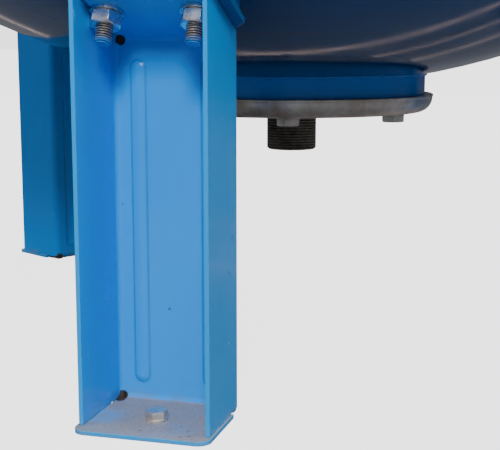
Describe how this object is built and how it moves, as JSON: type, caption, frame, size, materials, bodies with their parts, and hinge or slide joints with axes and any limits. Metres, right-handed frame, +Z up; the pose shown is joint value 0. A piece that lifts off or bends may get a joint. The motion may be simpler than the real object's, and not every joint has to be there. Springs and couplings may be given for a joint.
{
  "type": "vertical bladder pressure tank",
  "caption": "Upright blue steel pressure tank with a rubber bladder, a bolted flange and threaded water connection below, bolted channel legs, a charging valve and a pressure gauge.",
  "frame": {"origin": "On the floor, on the tank's axis.", "axes": "+Z up along the tank's axis; one leg points along -Y, where the gauge also faces; the other legs stand 120 degrees either way; the charging valve is on the +X side."},
  "size_m": [0.7516, 0.7516, 1.5372],
  "materials": {
    "blue_paint": "bright blue powder coat, satin gloss",
    "tank_blue_paint": "blue powder coat over the pressure shell",
    "flange_steel": "dark bare steel with a brown oxide bloom",
    "zinc_steel": "bright zinc plate",
    "dull_zinc_steel": "dusty dull zinc plate",
    "black_steel": "blackened threaded steel",
    "stem_steel": "turned steel",
    "bladder_rubber": "smooth black butyl rubber",
    "seal_rubber": "black rubber",
    "brass": "turned brass",
    "black_plastic": "moulded black plastic",
    "gauge_black": "black enamel",
    "dial_white": "matt white enamel",
    "lens_clear": "clear",
    "spring_steel": "drawn spring wire",
    "plate_aluminium": "plain anodised sheet"
  },
  "bodies": {
    "tank": {"lower_head": "tank_blue_paint", "upper_head": "tank_blue_paint", "shell_cylinder": "tank_blue_paint", "neck_ring": "tank_blue_paint", "top_boss": "tank_blue_paint", "valve_socket": "tank_blue_paint", "gauge_socket": "tank_blue_paint", "bracket_front": "tank_blue_paint", "bracket_right": "tank_blue_paint", "bracket_left": "tank_blue_paint", "leg_front": "blue_paint", "leg_right": "blue_paint", "leg_left": "blue_paint", "counter_flange": "flange_steel", "connection_nipple": "black_steel", "flange_bolts": "dull_zinc_steel", "flange_washers": "dull_zinc_steel", "leg_bolts": "zinc_steel", "leg_nuts": "zinc_steel", "leg_washers": "zinc_steel", "foot_bolts": "dull_zinc_steel", "bladder": "bladder_rubber", "bladder_stem": "stem_steel", "bladder_washer": "zinc_steel", "stem_washer": "zinc_steel", "stem_nut": "zinc_steel", "plug_seal": "seal_rubber", "top_plug": "zinc_steel", "valve_body": "brass", "valve_core": "brass", "valve_spring": "spring_steel", "gauge_stem": "brass", "gauge_case": "gauge_black", "gauge_dial": "dial_white", "gauge_lens": "lens_clear", "gauge_bezel": "gauge_black", "gauge_movement": "brass", "bourdon_tube": "brass", "data_plate": "plate_aluminium", "plate_rivets": "plate_aluminium"},
    "valve_cap": {"valve_cap": "black_plastic"},
    "valve_pin": {"valve_pin": "brass"},
    "gauge_needle": {"gauge_needle": "gauge_black"},
    "gauge_sector": {"gauge_sector": "brass"}
  },
  "joints": [
    {"name": "valve_cap_lift", "type": "slide", "parent": "tank", "child": "valve_cap", "axis": [0, 0, 1], "range_m": [0, 0.05]},
    {"name": "valve_pin_press", "type": "slide", "parent": "tank", "child": "valve_pin", "axis": [0, 0, -1], "range_m": [0, 0.001], "stiffness_N_per_m": 300, "springref_m": -0.002, "deforming": ["valve_spring"]},
    {"name": "needle_turn", "type": "hinge", "parent": "tank", "child": "gauge_needle", "pos_m": [0, -0.2, 1.50389], "axis": [0, 1, 0], "range_deg": [0, 270], "stiffness_Nm_per_rad": 0.002},
    {"name": "sector_turn", "type": "hinge", "parent": "tank", "child": "gauge_sector", "pos_m": [0, -0.2, 1.49189], "axis": [0, 1, 0], "range_deg": [-45, 0]}
  ],
  "couplings": [
    {"joint": "sector_turn", "follows": "needle_turn", "ratio": -0.16667}
  ]
}
